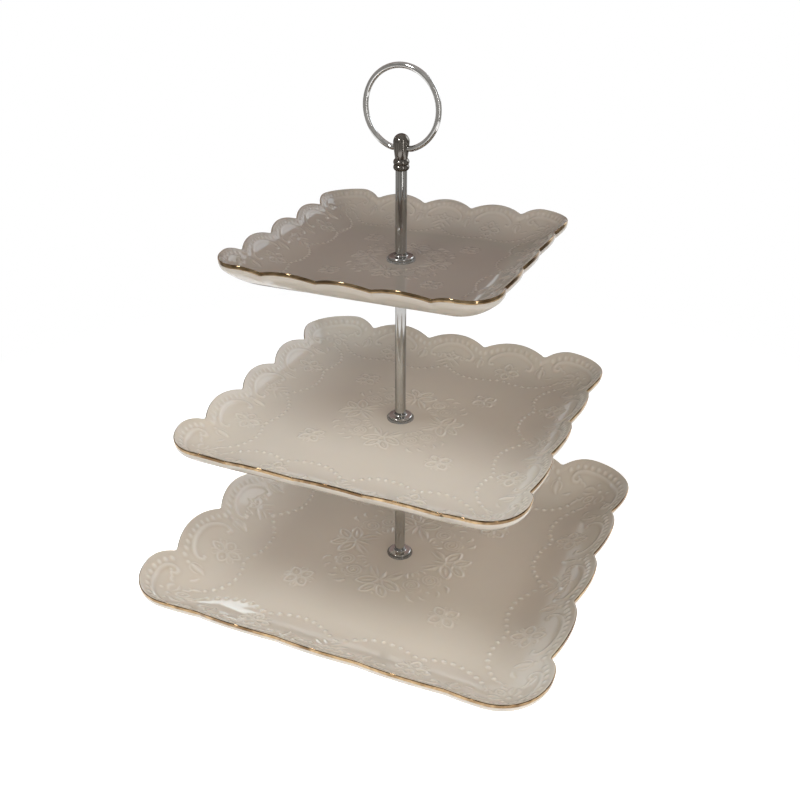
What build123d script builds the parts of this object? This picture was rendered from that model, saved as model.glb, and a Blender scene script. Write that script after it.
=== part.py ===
from build123d import *
import os
from math import radians, sqrt, tan

# Three-tier cake stand: square scalloped porcelain plates on a screwed column of plated
# tubes, with a swinging ring handle. Millimetres and degrees, +Z up. The origin is on the
# floor, under the column's axis, and the plates' sides are parallel to X and Y.

# ---------------------------------------------------------------- driving dimensions
# Plates: width over the corner scallops, width of the sloping rim, rise of the rim
PLATE_SIZES = {
    "bottom_plate": (254.0, 42.0, 17.4),
    "middle_plate": (207.8, 29.5, 8.9),
    "top_plate": (156.3, 25.3, 10.6),
}
PORCELAIN = 4.2  # wall, measured upright
LIP_ANGLE = 41.2  # slope of the rim at its edge
CENTRE_HOLE_RADIUS = 3.5
FOOT_RING_HEIGHT = 5.5  # below the underside of the well
FOOT_RING_WIDTH = 4.5

# Scallops, as shares of the half width of the square on which their cusps lie
INNER_CUSP = 0.2049
OUTER_CUSP = 0.6312
SIDE_LOBE_RISE = 0.0493
CORNER_LOBE_RISE = 0.229
CORNER_LOBE_REACH = 1.0545
CUSP_SOFTENING = 0.03
LIP_CHAMFER = 1.0

# Corner radii of the dish, as shares of the same half width
WELL_CORNER = 0.12
LIP_CORNER = 0.191

# Column
TIER_PITCH = 100.7  # from the top of one well to the next
TUBE_RADIUS = 3.15
TUBE_BORE_RADIUS = 2.45
SPIGOT_CLEARANCE = 0.03
THREAD_RADIUS = 1.95  # M4 stud, modelled plain
THREAD_BORE_RADIUS = 2.0
FOOT_RADIUS = 7.2
FOOT_DISC_HEIGHT = 1.7
FOOT_COLLAR_RADIUS = 3.7
FOOT_HEIGHT = 3.3
TUBE_SOCKET_DEPTH = 2.1
FOOT_SPIGOT_LENGTH = 7.0
STUD_COLLAR_HEIGHT = 1.0
STUD_PLUG_LENGTH = 8.0
STUD_ENGAGEMENT = 8.0
SOFT_WASHER_RADIUS = 8.2
SOFT_WASHER_HEIGHT = 0.8
METAL_WASHER_RADIUS = 7.5
METAL_WASHER_HEIGHT = 1.4
WASHER_HOLE_RADIUS = 2.2
SCREW_HEAD_RADIUS = 4.2
SCREW_HEAD_HEIGHT = 2.5
SCREW_SLOT_WIDTH = 1.0
SCREW_SLOT_DEPTH = 1.2
SCREW_LENGTH = 15.0

# Handle
HANDLE_TUBE_LENGTH = 48.2
HANDLE_TURN = -4.5  # the ring's plane against the plates' sides
BEAD_RADIUS = 4.35
BEAD_HEIGHT = 3.15
NECK_RADIUS = 3.35
HEAD_MIDDLE_RADIUS = 4.03
HEAD_RADIUS = 4.4
HEAD_SHOULDER_HEIGHT = 8.8  # from the beads to the head's widest place
HEAD_SPIGOT_LENGTH = 9.0
RING_RADIUS = 21.35  # centreline
RING_WIRE_RADIUS = 1.55
RING_BORE_CLEARANCE = 0.05
RING_STRAIGHT = 4.8  # half length of the straight part in the head
RING_FLATTENING = 0.8  # how far the straight part lies inside the circle
RING_END_GAP = 0.4
RING_PIVOT_ABOVE_BEADS = 5.6

# ---------------------------------------------------------------- levels along the column
BOTTOM_WELL = FOOT_RING_HEIGHT + PORCELAIN
WELLS = {
    "bottom_plate": BOTTOM_WELL,
    "middle_plate": BOTTOM_WELL + TIER_PITCH,
    "top_plate": BOTTOM_WELL + 2 * TIER_PITCH,
}


def foot_level(plate):
    """Underside of the post foot that stands on a plate."""
    return WELLS[plate] + SOFT_WASHER_HEIGHT


def tube_start(plate):
    """Lower end of the tube in the foot that stands on a plate."""
    return foot_level(plate) + FOOT_HEIGHT - TUBE_SOCKET_DEPTH


def support_levels(plate):
    """Levels under a raised plate: soft washer, metal washer, stud collar, tube end."""
    soft = WELLS[plate] - PORCELAIN - SOFT_WASHER_HEIGHT
    metal = soft - METAL_WASHER_HEIGHT
    collar = metal - STUD_COLLAR_HEIGHT
    return soft, metal, collar


# ---------------------------------------------------------------- plates
def rim_height(reach, rim_width, rim_rise):
    """Height of the dish above its well, at a reach outside the edge of the well."""
    slope = tan(radians(LIP_ANGLE))
    if reach > rim_width:
        return rim_rise + (reach - rim_width) * slope
    power = slope * rim_width / rim_rise
    return rim_rise * (reach / rim_width) ** power


def dish_hollow(cusp_line, rim_width, rim_rise):
    """Space over the dish: rounded squares that grow with height, lofted."""
    well_half = cusp_line - rim_width
    stations = [0.0, 0.2, 0.4, 0.6, 0.8, 1.0]
    reaches = [share * rim_width for share in stations]
    reaches += [rim_width + share * cusp_line for share in (0.07, 0.2)]
    sections = []
    for reach in reaches:
        growth = (reach / rim_width) ** 3 if reach <= rim_width else 1.0
        corner = cusp_line * (WELL_CORNER + (LIP_CORNER - WELL_CORNER) * growth)
        corner += max(0.0, reach - rim_width)
        side = 2 * (well_half + reach)
        level = Plane.XY.offset(rim_height(reach, rim_width, rim_rise))
        sections.append(level * RectangleRounded(side, side, corner))
    return loft(sections)


def scalloped_outline(cusp_line):
    """Face bounded by three side lobes and one corner lobe, four times round."""
    inner = INNER_CUSP * cusp_line
    outer = OUTER_CUSP * cusp_line
    cusps = [(-outer, -cusp_line), (-inner, -cusp_line), (inner, -cusp_line), (outer, -cusp_line)]
    side_peaks = [(-outer - inner) / 2, 0.0, (outer + inner) / 2]
    side_reach = -cusp_line * (1 + SIDE_LOBE_RISE)
    corner_middle = (outer + cusp_line) / 2 + CORNER_LOBE_RISE * cusp_line / sqrt(2)
    lobes = []
    for start, end, peak in zip(cusps, cusps[1:], side_peaks):
        lobes.append(ThreePointArc(start, (peak, side_reach), end))
    lobes.append(ThreePointArc(cusps[-1], (corner_middle, -corner_middle), (cusp_line, -outer)))
    edges = [Rot(0, 0, 90 * quarter) * lobe for quarter in range(4) for lobe in lobes]
    face = make_face(edges)
    return fillet(face.vertices(), CUSP_SOFTENING * cusp_line)


def square_ring(outer_half, width, corner, height):
    """Upright rounded square ring."""
    outer = RectangleRounded(2 * outer_half, 2 * outer_half, corner)
    inner_half = outer_half - width
    inner = RectangleRounded(2 * inner_half, 2 * inner_half, corner - width)
    return extrude(outer - inner, height)


def lip_edges(dish):
    """Upper and lower edges of the dish's upright outer wall."""
    walls = [face for face in dish.faces() if abs(face.normal_at().Z) < 0.001]
    edges = [edge for wall in walls for edge in wall.edges()]
    return [edge for edge in edges if abs(edge.tangent_at(0.5).Z) < 0.9]


def plate(name):
    """One plate, its well's top at the plate's level on the column."""
    width, rim_width, rim_rise = PLATE_SIZES[name]
    cusp_line = width / 2 / CORNER_LOBE_REACH
    hollow = dish_hollow(cusp_line, rim_width, rim_rise)
    shell = Pos(0, 0, -PORCELAIN) * hollow - hollow
    trim = Pos(0, 0, -2 * PORCELAIN) * extrude(scalloped_outline(cusp_line), cusp_line)
    dish = shell & trim
    dish = dish.chamfer(LIP_CHAMFER, LIP_CHAMFER, lip_edges(dish))
    foot_half = cusp_line - rim_width - 1.5 * FOOT_RING_WIDTH
    foot_height = FOOT_RING_HEIGHT + PORCELAIN / 2
    foot = square_ring(foot_half, FOOT_RING_WIDTH, WELL_CORNER * cusp_line, foot_height)
    foot_bottom = -PORCELAIN - FOOT_RING_HEIGHT
    dish += Pos(0, 0, foot_bottom) * foot
    dish -= Cylinder(CENTRE_HOLE_RADIUS, 4 * PORCELAIN)
    return Pos(0, 0, WELLS[name]) * dish


# ---------------------------------------------------------------- column
def turned(points, rounds):
    """Solid of revolution from (radius, height) points; rounds maps a point's index to a fillet."""
    face = make_face(Polyline(*points, close=True))
    for index, radius in rounds.items():
        corner = face.vertices().sort_by_distance(points[index])[0]
        face = fillet(corner, radius)
    return revolve(Plane.XZ * face, Axis.Z)


def washer(outer_radius, height):
    """Flat washer with its underside at zero."""
    ring = Circle(outer_radius) - Circle(WASHER_HOLE_RADIUS)
    return extrude(ring, height)


def post_foot():
    """Flange with a collar round the tube, and a threaded spigot inside it."""
    seat = FOOT_HEIGHT - TUBE_SOCKET_DEPTH
    spigot_radius = TUBE_BORE_RADIUS - SPIGOT_CLEARANCE
    socket_radius = TUBE_RADIUS + SPIGOT_CLEARANCE
    spigot_top = seat + FOOT_SPIGOT_LENGTH
    points = [
        (THREAD_BORE_RADIUS, 0),
        (FOOT_RADIUS, 0),
        (FOOT_RADIUS, FOOT_DISC_HEIGHT),
        (FOOT_COLLAR_RADIUS, FOOT_DISC_HEIGHT + 0.3),
        (FOOT_COLLAR_RADIUS, FOOT_HEIGHT),
        (socket_radius, FOOT_HEIGHT),
        (socket_radius, seat),
        (spigot_radius, seat),
        (spigot_radius, spigot_top),
        (THREAD_BORE_RADIUS, spigot_top),
    ]
    return turned(points, {1: 0.4, 2: 0.8, 3: 0.7})


def tube(length):
    """Plain tube with its lower end at zero."""
    return extrude(Circle(TUBE_RADIUS) - Circle(TUBE_BORE_RADIUS), length)


def stud():
    """Plug, collar and threaded stud; the collar's underside is at zero."""
    plug_radius = TUBE_BORE_RADIUS - SPIGOT_CLEARANCE
    stack = METAL_WASHER_HEIGHT + PORCELAIN + 2 * SOFT_WASHER_HEIGHT
    stud_top = STUD_COLLAR_HEIGHT + stack + STUD_ENGAGEMENT
    points = [
        (0, -STUD_PLUG_LENGTH),
        (plug_radius, -STUD_PLUG_LENGTH),
        (plug_radius, 0),
        (TUBE_RADIUS, 0),
        (TUBE_RADIUS, STUD_COLLAR_HEIGHT),
        (THREAD_RADIUS, STUD_COLLAR_HEIGHT),
        (THREAD_RADIUS, stud_top),
        (0, stud_top),
    ]
    return turned(points, {})


def base_screw():
    """Pan-head screw, head down, with its bearing face at zero."""
    points = [
        (0, -SCREW_HEAD_HEIGHT),
        (SCREW_HEAD_RADIUS, -SCREW_HEAD_HEIGHT),
        (SCREW_HEAD_RADIUS, 0),
        (THREAD_RADIUS, 0),
        (THREAD_RADIUS, SCREW_LENGTH),
        (0, SCREW_LENGTH),
    ]
    screw = turned(points, {1: 1.2})
    slot = Box(3 * SCREW_HEAD_RADIUS, SCREW_SLOT_WIDTH, 2 * SCREW_SLOT_DEPTH)
    return screw - Pos(0, 0, -SCREW_HEAD_HEIGHT) * slot


# ---------------------------------------------------------------- handle
def head_profile():
    """Half outline of the handle's head: spigot, two beads, neck, egg and dome."""
    spigot_radius = TUBE_BORE_RADIUS - SPIGOT_CLEARANCE
    groove_radius = BEAD_RADIUS - 0.5
    bead_top = 2 * BEAD_HEIGHT
    shoulder = bead_top + HEAD_SHOULDER_HEIGHT
    top = shoulder + HEAD_RADIUS
    start = (TUBE_RADIUS, 0)
    groove = (groove_radius, BEAD_HEIGHT)
    neck = (NECK_RADIUS, bead_top)
    side_middle = (HEAD_MIDDLE_RADIUS, bead_top + 0.55 * HEAD_SHOULDER_HEIGHT)
    return [
        Polyline((0, top), (0, -HEAD_SPIGOT_LENGTH), (spigot_radius, -HEAD_SPIGOT_LENGTH)),
        Polyline((spigot_radius, -HEAD_SPIGOT_LENGTH), (spigot_radius, 0), start),
        ThreePointArc(start, (BEAD_RADIUS, BEAD_HEIGHT / 2), groove),
        ThreePointArc(groove, (BEAD_RADIUS, 1.5 * BEAD_HEIGHT), neck),
        ThreePointArc(neck, side_middle, (HEAD_RADIUS, shoulder)),
        CenterArc((0, shoulder), HEAD_RADIUS, 0, 90),
    ]


def handle_head():
    """Head with its cross bore along X; the lower bead's underside is at zero."""
    head = revolve(Plane.XZ * make_face(head_profile()), Axis.Z)
    bore_level = 2 * BEAD_HEIGHT + RING_PIVOT_ABOVE_BEADS
    bore = Rot(0, 90, 0) * Cylinder(RING_WIRE_RADIUS + RING_BORE_CLEARANCE, 4 * HEAD_RADIUS)
    return head - Pos(0, 0, bore_level) * bore


def handle_ring():
    """Open wire ring in the XZ plane; its two straight ends share the pivot axis, X."""
    rise = RING_RADIUS - RING_FLATTENING
    bend_radius = RING_RADIUS - RING_FLATTENING / 2 - RING_STRAIGHT**2 / (2 * RING_FLATTENING)
    centre = Vector(0, 0, rise)
    bend_centre = Vector(RING_STRAIGHT, 0, bend_radius)
    outward = (bend_centre - centre).normalized()
    end = Vector(RING_END_GAP / 2, 0, 0)
    bend_start = Vector(RING_STRAIGHT, 0, 0)
    bend_middle = bend_centre + (outward + Vector(0, 0, -1)).normalized() * bend_radius
    bend_end = centre + outward * RING_RADIUS
    top = centre + Vector(0, 0, RING_RADIUS)

    def mirrored(point):
        return Vector(-point.X, 0, point.Z)

    path = Wire(
        [
            Line(end, bend_start),
            ThreePointArc(bend_start, bend_middle, bend_end),
            ThreePointArc(bend_end, top, mirrored(bend_end)),
            ThreePointArc(mirrored(bend_end), mirrored(bend_middle), mirrored(bend_start)),
            Line(mirrored(bend_start), mirrored(end)),
        ]
    )
    section = Plane(end, z_dir=(1, 0, 0)) * Circle(RING_WIRE_RADIUS)
    return sweep(section, path)


# ---------------------------------------------------------------- assembly
def build_parts():
    """All pieces in place, by node name."""
    parts = {name: plate(name) for name in PLATE_SIZES}
    soft = washer(SOFT_WASHER_RADIUS, SOFT_WASHER_HEIGHT)
    metal = washer(METAL_WASHER_RADIUS, METAL_WASHER_HEIGHT)

    # base screw and its washers under the bottom plate
    base_soft = FOOT_RING_HEIGHT - SOFT_WASHER_HEIGHT
    base_metal = base_soft - METAL_WASHER_HEIGHT
    parts["base_soft_washer"] = Pos(0, 0, base_soft) * soft
    parts["base_metal_washer"] = Pos(0, 0, base_metal) * metal
    parts["base_screw"] = Pos(0, 0, base_metal) * base_screw()

    # washers under the two raised plates, on the studs of the posts below them
    for tier, post in (("middle", "lower"), ("top", "upper")):
        soft_level, metal_level, collar_level = support_levels(f"{tier}_plate")
        parts[f"{tier}_soft_washer"] = Pos(0, 0, soft_level) * soft
        parts[f"{tier}_metal_washer"] = Pos(0, 0, metal_level) * metal
        parts[f"{post}_post_stud"] = Pos(0, 0, collar_level) * stud()

    # a soft washer and a post foot on every plate, and the tube in each foot
    handle_tube_end = tube_start("top_plate") + HANDLE_TUBE_LENGTH
    tube_ends = {
        "lower": support_levels("middle_plate")[2],
        "upper": support_levels("top_plate")[2],
        "handle": handle_tube_end,
    }
    for tier, post in (("bottom", "lower"), ("middle", "upper"), ("top", "handle")):
        plate_name = f"{tier}_plate"
        start = tube_start(plate_name)
        parts[f"{tier}_top_soft_washer"] = Pos(0, 0, WELLS[plate_name]) * soft
        parts[f"{post}_post_foot"] = Pos(0, 0, foot_level(plate_name)) * post_foot()
        parts[f"{post}_post_tube"] = Pos(0, 0, start) * tube(tube_ends[post] - start)

    # head and ring
    pivot_level = handle_tube_end + 2 * BEAD_HEIGHT + RING_PIVOT_ABOVE_BEADS
    turn = Rot(0, 0, HANDLE_TURN)
    parts["handle_head"] = Pos(0, 0, handle_tube_end) * turn * handle_head()
    parts["handle_ring"] = Pos(0, 0, pivot_level) * turn * handle_ring()
    return parts


os.makedirs("parts", exist_ok=True)
for name, solid in build_parts().items():
    export_step(solid, f"parts/{name}.step")
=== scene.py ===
from math import atan2, cos, pi, radians, sin, tan

import bpy
import numpy as np
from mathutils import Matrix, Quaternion, Vector


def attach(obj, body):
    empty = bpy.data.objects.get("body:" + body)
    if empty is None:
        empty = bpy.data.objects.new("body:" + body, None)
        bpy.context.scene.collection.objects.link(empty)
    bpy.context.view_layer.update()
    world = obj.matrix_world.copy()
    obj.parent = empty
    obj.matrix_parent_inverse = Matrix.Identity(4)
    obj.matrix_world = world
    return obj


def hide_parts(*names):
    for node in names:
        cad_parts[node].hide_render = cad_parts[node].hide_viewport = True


# Looks of the three-tier cake stand. The plates are rebuilt here with their embossed
# ornament, gilt lip and glaze; the metal column keeps its CAD nodes and gets finishes.
# Shapes are worked out in millimetres and written to meshes in metres.

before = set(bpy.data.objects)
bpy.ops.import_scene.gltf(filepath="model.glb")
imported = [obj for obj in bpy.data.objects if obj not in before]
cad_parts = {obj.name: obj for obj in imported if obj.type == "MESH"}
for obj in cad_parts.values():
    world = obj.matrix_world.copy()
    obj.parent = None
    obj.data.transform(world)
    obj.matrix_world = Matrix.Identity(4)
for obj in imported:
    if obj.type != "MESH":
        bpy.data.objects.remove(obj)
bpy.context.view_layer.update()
scene = bpy.context.scene

# -------- dimensions, as in part.py
# Millimetres. Plates: width over the corner scallops, rim width, rim rise, level of the well
PLATES = {
    "bottom_plate": (254.0, 42.0, 17.4, 9.7),
    "middle_plate": (207.8, 29.5, 8.9, 110.4),
    "top_plate": (156.3, 25.3, 10.6, 211.1),
}
PORCELAIN = 4.2
LIP_ANGLE = radians(41.2)
HOLE_RADIUS = 3.5
FOOT_RING_HEIGHT = 5.5
FOOT_RING_WIDTH = 4.5
# Outline, as shares of the cusp line's half width
INNER_CUSP = 0.2049
OUTER_CUSP = 0.6312
MIDDLE_LOBE = (OUTER_CUSP + INNER_CUSP) / 2
SIDE_LOBE_RISE = 0.0493
CORNER_LOBE_RISE = 0.229
CORNER_LOBE_REACH = 1.0545
CUSP_SOFTENING = 0.03
WELL_CORNER = 0.12
LIP_CORNER = 0.191

# -------- mesh fineness
LIP_SAMPLES = {"bottom_plate": 1792, "middle_plate": 1536, "top_plate": 1280}
RING_PITCH = {"bottom_plate": 0.62, "middle_plate": 0.56, "top_plate": 0.50}
RING_CROWDING = 0.92  # under 1 the rings lie a little closer towards the lip
SPOKE_STEPS = ((0.13, 8), (0.27, 4), (0.6, 2), (1.1, 1))  # share of the way out, and step
ARC_SAMPLES = 160
FILLET_SAMPLES = 40
HALVINGS = 26  # steps of a search by halving
UNDERSIDE_RINGS = 22
BASE_RINGS = 16
LIP_STEP, UNDERSIDE_STEP = 2, 4  # under the plate each n-th spoke is kept
MAP_CELLS = 800  # cells of the ornament map along one cusp line half width
MAP_MARGIN = 0.08

# -------- glaze and gold line
HOLE_CHAMFER = 0.3  # the glaze rounds the hole's edge
FOOT_FILLET = 1.6  # glaze that fills the corner outside the foot ring
LIP_BAND = 1.8  # width of the rounded lip, inside the outline
LIP_SWELL = 0.8  # the glaze is fuller along the lip
LIP_SWELL_WIDTH = 0.04  # as a share of the way from the hole to the lip
LIP_DROP = 1.5  # from the lip's crown to its outermost place
# The gold line starts and ends at these places of a way over the lip, which is 0 at the lip's
# inner edge, 1 at its outermost place and 2 at its underside. A brushed edge wanders.
GILT_START, START_WANDER = 0.53, 0.04
GILT_END, END_WANDER = 1.15, 0.02
GLAZE, GILT, BARE_CLAY = 0, 1, 2  # order of the plates' materials

# -------- ornament, as shares of the cusp line's half width
RELIEF_GAIN = 1.5  # height of the ornament against the heights named below
RELIEF_BLUR = 1.9  # cells by which the glaze softens the ornament
SURROUNDINGS_BLUR = 7.0  # cells, to tell crests from hollows
PEARL_INSET = 0.040  # of the pearl border, inside the outline
PEARL = (0.0142, 0.0048)  # radius and height, as in the next ones
CUSP_PEARL = (0.013, 0.0042)
SWAG_PEARL = (0.0130, 0.0046)
SWAG_PITCH = 0.0465
SMALL_DOT = (0.0095, 0.0042)
SCROLL = (0.0115, 0.0045)
SCROLL_EYE = (0.0115, 0.0048)

# -------- camera: degrees, metres, and the lens in millimetres
CAMERA_AZIMUTH, CAMERA_ELEVATION, CAMERA_ROLL = 24.48, 27.70, -0.553
CAMERA_DISTANCE = 0.5792
AIM_HEIGHT, AIM_ASIDE = 0.1227, -0.01488
SENSOR_WIDTH = 36
LENS = 43.33
SHIFT = 0.0304

# -------- studio: degrees, metres, watts
COOL, WARM, ROSY = (0.88, 0.94, 1.0), (1.0, 0.95, 0.86), (1.0, 0.87, 0.84)
PALE_ROSE, CREAM, WHITE = (1.0, 0.80, 0.80), (1.0, 0.93, 0.88), (1.0, 1.0, 1.0)
LAMP_DISTANCE = 1.05
LAMP_CENTRE = 0.08  # height of the place that every lamp faces
SQUARE, BROAD, LOW = (0.40, 0.36), (0.45, 0.36), (0.45, 0.2)
# Lamps: azimuth, elevation, size, power, tint
SHARED_LAMPS = {
    "low_key": (-55, 28, BROAD, 1.9, ROSY),
    "back_key": (65, 15, (0.45, 0.30), 0.75, PALE_ROSE),
    "low_back_key": (95, 14, LOW, 0.85, ROSY),
    "low_right_key": (-15, 18, LOW, 1.4, COOL),
    "low_left_key": (-150, 16, LOW, 1.25, COOL),
}
LOWER_LAMPS = {
    "lower_high_key": (-106, 62, SQUARE, 3.55, COOL),
    "lower_left_key": (-150, 47, SQUARE, 1.5, WHITE),
    "lower_right_key": (-30, 45, SQUARE, 2.0, WARM),
}
UPPER_LAMPS = {
    "upper_key": (-105, 45, SQUARE, 1.9, CREAM),
    "upper_left_key": (-150, 45, SQUARE, 0.5, WHITE),
}
GLINT = (-113, 45, (0.14, 0.14), 3.0, WHITE)
STRIP = (-40, 9, (0.05, 1.3), 1.2, WHITE)
# Screens: middle azimuth, spread, bottom, top, darker and lighter colour, distance
CURTAINS = {
    "front_curtain": (-67.12, 250, -1.2, 2.2, (0.12, 0.116, 0.11), (0.48, 0.47, 0.45), 1.6),
    "back_curtain": (112.88, 110, 0.47, 2.2, (0.31, 0.23, 0.21), (0.45, 0.345, 0.32), 1.6),
    "left_glow": (62, 40, 0.40, 1.35, (2.2, 2.35, 2.5), (2.4, 2.55, 2.7), 1.5),
}
BOARDS = {
    "tall_board": (140.3, 7.0, 0.0, 0.200, (3.1, 3.5, 3.7), (3.4, 3.8, 4.0), 0.3),
    "low_board": (134.4, 4.8, 0.0, 0.12, (2.9, 3.2, 3.3), (3.2, 3.5, 3.6), 0.3),
}
CEILING = (2.2, (0.26, 0.25, 0.24), (0.44, 0.43, 0.42), 1.62)
AMBIENT, AMBIENT_TINT = 0.01, (1.0, 0.78, 0.70, 1)
FLOOR_RINGS = (0.1, 0.2, 0.3, 0.4, 0.55)
FLOOR_FADE = (0.2, 0.5)
FLOOR_GREY = (0.82, 0.82, 0.82, 1)
FLOOR_LIFT = 0.8  # added light, so that the shadowed floor stays pale
UNSEEN_LIFT, UNSEEN_WHITE = 0.35, 0.9  # shares kept for the light that the floor throws


def add_object(name, data):
    """Object of this data, in the scene's collection."""
    item = bpy.data.objects.new(name, data)
    scene.collection.objects.link(item)
    return item


# -------- camera
def add_camera():
    """Camera at the photograph's viewing angle."""
    azimuth, elevation = radians(CAMERA_AZIMUTH), radians(CAMERA_ELEVATION)
    back = Vector((sin(azimuth) * cos(elevation), -cos(azimuth) * cos(elevation), sin(elevation)))
    right = Vector((cos(azimuth), sin(azimuth), 0))
    target = Vector((0, 0, AIM_HEIGHT)) + AIM_ASIDE * right
    roll = Quaternion((0, 0, 1), radians(CAMERA_ROLL))
    camera = add_object("camera", bpy.data.cameras.new("camera"))
    camera.data.sensor_width = SENSOR_WIDTH
    camera.data.lens = LENS
    camera.data.shift_x = SHIFT
    camera.data.clip_start = 0.01
    camera.location = target + CAMERA_DISTANCE * back
    camera.rotation_mode = "QUATERNION"
    camera.rotation_quaternion = back.to_track_quat("Z", "Y") @ roll
    scene.camera = camera


# -------- node helpers
class Nodes:
    """A node tree with short calls to add and link nodes."""

    def __init__(self, tree):
        self.tree = tree
        tree.nodes.clear()

    def add(self, kind, values=None, **properties):
        node = self.tree.nodes.new("ShaderNode" + kind)
        for name, value in properties.items():
            setattr(node, name, value)
        for name, value in (values or {}).items():
            node.inputs[name].default_value = value
        return node

    def link(self, start, end):
        self.tree.links.new(start, end)

    def feed(self, value, socket):
        """Writes a plain value to a socket, or links another socket to it."""
        if isinstance(value, (int, float, tuple)):
            socket.default_value = value
        else:
            self.link(value, socket)

    def noise(self, place, scale, detail=3.0, roughness=0.5):
        node = self.add("TexNoise", {"Scale": scale, "Detail": detail, "Roughness": roughness})
        self.link(place, node.inputs["Vector"])
        return node.outputs["Fac"]

    def remap(self, value, low, high, new_low, new_high, smooth=False):
        kind = "SMOOTHSTEP" if smooth else "LINEAR"
        limits = {"From Min": low, "From Max": high, "To Min": new_low, "To Max": new_high}
        node = self.add("MapRange", limits, interpolation_type=kind)
        self.link(value, node.inputs["Value"])
        return node.outputs["Result"]

    def math(self, operation, first, second):
        node = self.add("Math", operation=operation)
        for value, socket in zip((first, second), node.inputs):
            self.feed(value, socket)
        return node.outputs["Value"]

    def length(self, vector):
        node = self.add("VectorMath", operation="LENGTH")
        self.link(vector, node.inputs[0])
        return node.outputs["Value"]

    def combine(self, **axes):
        node = self.add("CombineXYZ")
        for axis, value in axes.items():
            self.feed(value, node.inputs[axis])
        return node.outputs["Vector"]

    def mix_colours(self, share, first, second):
        node = self.add("Mix", data_type="RGBA")
        self.link(share, node.inputs["Factor"])
        self.feed(first, node.inputs[6])
        self.feed(second, node.inputs[7])
        return node.outputs[2]

    def blend(self, pattern, low, high, first, second, most=1.0):
        """Mixes two colours by a pattern: at low only the first, at high most of the second."""
        return self.mix_colours(self.remap(pattern, low, high, 0.0, most), first, second)

    def bump(self, height, distance, strength, normal=None):
        node = self.add("Bump", {"Distance": distance, "Strength": strength})
        self.link(height, node.inputs["Height"])
        if normal:
            self.link(normal, node.inputs["Normal"])
        return node.outputs["Normal"]

    def texture(self, shader, pattern, roughness, bump):
        """Roughness range, and bump height and strength, that follow one pattern."""
        self.link(self.remap(pattern, 0.3, 0.7, *roughness), shader.inputs["Roughness"])
        self.link(self.bump(pattern, *bump), shader.inputs["Normal"])

    def mix_shaders(self, share, first, second):
        node = self.add("MixShader")
        for start, end in zip((share, first, second), node.inputs):
            self.link(start, end)
        return node.outputs["Shader"]


def colour(*shades):
    """Scene colour from the eight-bit display values."""
    shades = [shade / 255 for shade in shades]
    return (*(s / 12.92 if s <= 0.04045 else ((s + 0.055) / 1.055) ** 2.4 for s in shades), 1.0)


def bare_material(name):
    """Material with an output and object-space places, but no shader yet."""
    material = bpy.data.materials.new(name)
    material.use_nodes = True
    nodes = Nodes(material.node_tree)
    surface = nodes.add("OutputMaterial").inputs["Surface"]
    place = nodes.add("TexCoord").outputs["Object"]
    return material, nodes, surface, place


def new_material(name, values):
    """Material with a Principled shader of these values."""
    material, nodes, surface, place = bare_material(name)
    shader = nodes.add("BsdfPrincipled", values)
    nodes.link(shader.outputs["BSDF"], surface)
    return material, nodes, shader, place


# -------- materials
def glaze_material():
    """Ivory glaze: pooled in the hollows of the relief, thin on its crests, with rare specks."""
    values = {"IOR": 1.5, "Subsurface Weight": 0.12, "Subsurface Scale": 0.004}
    values["Subsurface Radius"] = (1.0, 0.7, 0.45)
    material, nodes, shader, place = new_material("ivory_glaze", values)
    relief = nodes.add("Attribute", attribute_name="glaze_crest").outputs["Fac"]
    body = nodes.blend(relief, -0.25, 0.35, colour(212, 201, 184), colour(233, 227, 216))
    cloud = nodes.noise(place, 22.0, 3.0)
    tinted = nodes.blend(cloud, 0.35, 0.7, body, colour(224, 216, 202), 0.5)
    specks = nodes.add("TexVoronoi", {"Scale": 95.0})
    nodes.link(place, specks.inputs["Vector"])
    spot = nodes.remap(specks.outputs["Distance"], 0.018, 0.032, 1.0, 0.0, smooth=True)
    chosen = nodes.add("SeparateColor")
    nodes.link(specks.outputs["Color"], chosen.inputs["Color"])
    rare = nodes.math("LESS_THAN", chosen.outputs["Red"], 0.03)
    speck = nodes.math("MULTIPLY", spot, rare)
    nodes.link(nodes.mix_colours(speck, tinted, colour(96, 82, 66)), shader.inputs["Base Color"])
    flow = nodes.noise(place, 60.0, 2.0)
    nodes.link(nodes.remap(flow, 0.3, 0.7, 0.035, 0.08), shader.inputs["Roughness"])
    ripple = nodes.bump(nodes.noise(place, 140.0, 1.0), 0.00006, 0.3)
    skin = nodes.bump(nodes.noise(place, 900.0, 2.0), 0.00001, 0.3, ripple)
    nodes.link(skin, shader.inputs["Normal"])
    return material


def gilt_material():
    """Burnished gold line, brushed on by hand: uneven in tone, with patches of painted dark
    reflection.
    """
    material, nodes, shader, place = new_material("gilt_line", {"Metallic": 1.0})
    strokes = nodes.noise(place, 160.0, 4.0, 0.6)
    gold = nodes.blend(strokes, 0.35, 0.68, colour(130, 105, 74), colour(192, 166, 130))
    # painted reflection: dark patches in the gold's colour stand in for dark surroundings mirrored
    # in the line
    painted_dark_reflection = nodes.remap(nodes.noise(place, 55.0, 3.0), 0.48, 0.62, 0.0, 0.75, smooth=True)
    nodes.link(nodes.mix_colours(painted_dark_reflection, gold, colour(104, 80, 56)), shader.inputs["Base Color"])
    nodes.texture(shader, strokes, (0.06, 0.14), (0.00005, 0.4))
    return material


def bisque_material():
    """Bare fired clay on the running face of the foot ring."""
    material, nodes, shader, place = new_material("bare_foot_ring", {})
    grain = nodes.noise(place, 700.0, 5.0, 0.7)
    clay = nodes.blend(grain, 0.3, 0.7, colour(206, 196, 180), colour(228, 222, 211))
    dirt = nodes.noise(place, 60.0, 4.0)
    soiled = nodes.blend(dirt, 0.5, 0.75, clay, colour(178, 166, 148), 0.5)
    nodes.link(soiled, shader.inputs["Base Color"])
    nodes.texture(shader, grain, (0.75, 0.95), (0.0001, 0.6))
    return material


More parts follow.
